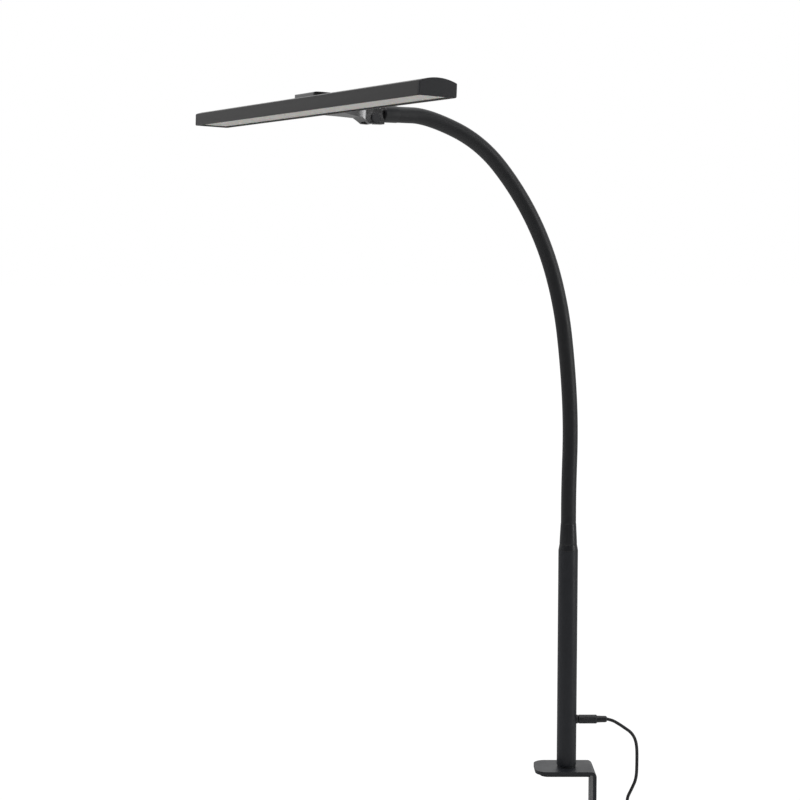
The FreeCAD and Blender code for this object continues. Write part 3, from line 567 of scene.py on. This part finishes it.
def threaded_screw():
    low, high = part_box("clamp_screw")
    centre = (low + high) / 2
    length = high.z - low.z
    threaded = length - PIN_LENGTH
    vertices, steps = [], 36

    def add(r, z, step):
        angle = 2 * math.pi * step / steps
        vertices.append((centre.x + r * math.cos(angle), centre.y + r * math.sin(angle), low.z + z))

    rows = int(threaded / SCREW_PITCH * 10)
    for row in range(rows + 1):
        z = threaded * row / rows
        full = min(1.0, (threaded - z) / 0.002)
        for step in range(steps):
            phase = (z / SCREW_PITCH - step / steps) % 1.0
            tooth = 0.5 - 0.5 * math.cos(2 * math.pi * phase)
            r = SCREW_RADIUS - THREAD_DEPTH * (1 - tooth)
            r -= 0.0008 * (1.0 - max(0.0, full))
            add(r, z, step)
    pin = [
        (PIN_RADIUS + 0.0001, threaded),
        (PIN_RADIUS, threaded + 0.0002),
        (PIN_RADIUS, length - 0.0004),
        (PIN_RADIUS - 0.0004, length),
    ]
    for r, z in pin:
        for step in range(steps):
            add(r, z, step)
    count = rows + 1 + len(pin)
    faces = rings_joined(count, steps) + ends_closed(count, steps)
    piece = new_piece("clamp_screw_thread", vertices, faces)
    paint(piece, "dark_steel")
    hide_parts("clamp_screw")
    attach(piece, "screw")


threaded_screw()


# ---- plug, its relief and the cord's own pieces --------------------------------------------------


def smooth_step(value):
    value = min(max(value, 0.0), 1.0)
    return value * value * (3 - 2 * value)


PIN_START = 0.004  # along the plug's line, from the pole's axis
GRIP_START = 0.0129
GRIP_END = 0.0341
RELIEF_END = 0.0457
GRIP_RADIUS = 0.0050
RELIEF_RADIUS = 0.0039
RIB_START, RIB_END, RIB_STEP, RIB_DEPTH = 0.0185, 0.0305, 0.0015, 0.00028
SLOT_MIDDLE, SLOT_HALF, SLOT_DEPTH = 0.0398, 0.0032, 0.0011
FINE = 0.0002  # between the rings where the surface has relief


def ribs(x, angle):
    if not RIB_START < x < RIB_END:
        return 0.0
    side = smooth_step((abs(math.cos(angle)) - 0.80) / 0.08)
    wave = 0.5 + 0.5 * math.cos(2 * math.pi * (x - RIB_START) / RIB_STEP)
    return -RIB_DEPTH * side * wave


def slots(x, angle):
    """An oval slot on the top and another below, so that the relief bends."""
    across = math.asin(min(1.0, abs(math.cos(angle)))) / 0.42
    along = (x - SLOT_MIDDLE) / SLOT_HALF
    return -SLOT_DEPTH * smooth_step((1.0 - across**2 - along**2) / 0.35)


def finish_plug_piece(piece, slot, node):
    paint(piece, slot)
    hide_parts(node)
    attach(piece, "pole")


def plug():
    """A straight barrel plug: a grip with fine ribs on two sides, and a soft slotted relief."""
    low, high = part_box("dc_plug")
    frame_of = Matrix.Translation(Vector((0.0, 0.0, (low.z + high.z) / 2)))
    profile = [
        (PIN_START, 0.0020),
        (PIN_START + 0.0005, 0.0027),
        (GRIP_START, 0.0027),
        (GRIP_START, 0.0042),
        (GRIP_START + 0.0003, 0.0047),
        (GRIP_START + 0.0008, 0.0049),
        (GRIP_START + 0.0014, GRIP_RADIUS),
    ]
    x = GRIP_START + 0.0020
    while x < GRIP_END - 0.0011:
        profile.append((x, GRIP_RADIUS))
        x += FINE
    profile += [
        (GRIP_END - 0.0010, GRIP_RADIUS),
        (GRIP_END - 0.0004, 0.0048),
        (GRIP_END - 0.0001, 0.0045),
        (GRIP_END, RELIEF_RADIUS),
    ]
    grip = lathe("dc_plug_grip", profile, frame_of, 72, ribs)
    finish_plug_piece(grip, "black_plastic", "dc_plug")

    profile = [(GRIP_END, 0.0030), (GRIP_END, 0.0037), (GRIP_END + 0.0002, RELIEF_RADIUS)]
    x = GRIP_END + 0.0005
    while x < RELIEF_END - 0.0015:
        profile.append((x, RELIEF_RADIUS - 0.03 * (x - GRIP_END)))
        x += FINE
    profile += [
        (RELIEF_END - 0.0012, 0.0035),
        (RELIEF_END - 0.0003, 0.0026),
        (RELIEF_END, 0.0021),
        (RELIEF_END, 0.00185),
    ]
    relief = lathe("plug_relief_sleeve", profile, frame_of, 96, slots)
    finish_plug_piece(relief, "cord_jacket", "plug_relief")
    return grip, relief


plug_grip, plug_relief = plug()

paint(cord, "cord_jacket")
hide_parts("cord_run", "cord_coil", "cord_tail")
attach(cord, "pole")


# ---- stage ---------------------------------------------------------------------------------------


def floor_material():
    made = bpy.data.materials.new("pale_floor")
    made.use_nodes = True
    tree = made.node_tree
    shader = tree.nodes["Principled BSDF"]
    shader.inputs["Roughness"].default_value = 0.9
    noise = tree.nodes.new("ShaderNodeTexNoise")
    noise.inputs["Scale"].default_value = 3.0
    ramp = tree.nodes.new("ShaderNodeValToRGB")
    ramp.color_ramp.elements[0].color = (0.80, 0.80, 0.80, 1.0)
    ramp.color_ramp.elements[1].color = (0.84, 0.84, 0.84, 1.0)
    link(tree, noise.outputs["Fac"], ramp.inputs["Fac"])
    link(tree, ramp.outputs["Color"], shader.inputs["Base Color"])
    glow = tree.nodes.new("ShaderNodeEmission")
    glow.inputs["Strength"].default_value = 1.05
    path = tree.nodes.new("ShaderNodeLightPath")
    mix = tree.nodes.new("ShaderNodeMixShader")
    link(tree, path.outputs["Is Camera Ray"], mix.inputs["Fac"])
    link(tree, shader.outputs["BSDF"], mix.inputs[1])
    link(tree, glow.outputs["Emission"], mix.inputs[2])
    link(tree, mix.outputs["Shader"], tree.nodes["Material Output"].inputs["Surface"])
    return made


floor = new_piece(
    "floor", [(-60, -60, -0.72), (60, -60, -0.72), (60, 60, -0.72), (-60, 60, -0.72)], [(0, 1, 2, 3)]
)
floor.data.materials.append(floor_material())


def studio_world():
    """White behind the object, and dimmer on the camera's side, as in a studio."""
    world = bpy.data.worlds.new("studio")
    scene.world = world
    world.use_nodes = True
    tree = world.node_tree
    background = tree.nodes["Background"]
    background.inputs["Color"].default_value = (1.0, 1.0, 1.0, 1.0)
    place = tree.nodes.new("ShaderNodeTexCoord")
    split = tree.nodes.new("ShaderNodeSeparateXYZ")
    link(tree, place.outputs["Generated"], split.inputs["Vector"])
    spread = tree.nodes.new("ShaderNodeMapRange")
    spread.inputs["From Min"].default_value = -0.5
    spread.inputs["From Max"].default_value = 0.9
    spread.inputs["To Min"].default_value = 0.06
    spread.inputs["To Max"].default_value = 0.85
    link(tree, split.outputs["Y"], spread.inputs["Value"])
    path = tree.nodes.new("ShaderNodeLightPath")
    seen = tree.nodes.new("ShaderNodeMath")
    seen.operation = "MAXIMUM"
    link(tree, path.outputs["Is Camera Ray"], seen.inputs[0])
    link(tree, spread.outputs["Result"], seen.inputs[1])
    link(tree, seen.outputs["Value"], background.inputs["Strength"])


studio_world()


def softbox(name, place, aim, size, power, mirrored=True):
    data = bpy.data.lights.new(name, "AREA")
    data.shape = "RECTANGLE"
    data.size, data.size_y = size
    data.energy = power
    lamp = bpy.data.objects.new(name, data)
    lamp.location = place
    lamp.rotation_euler = (Vector(aim) - Vector(place)).to_track_quat("-Z", "Y").to_euler()
    lamp.visible_glossy = mirrored
    scene.collection.objects.link(lamp)


softbox("overhead", (-0.4, -0.2, 2.1), (-0.1, -0.1, 0.5), (2.0, 1.6), 24.0)
softbox("left_strip", (-1.9, -1.4, 0.9), (0.0, 0.0, 0.4), (0.6, 1.8), 8.0, mirrored=False)
softbox("right_strip", (1.7, -0.6, 0.8), (0.0, 0.0, 0.4), (0.5, 1.8), 10.0)

scene.view_settings.view_transform = "Standard"
scene.view_settings.look = "None"
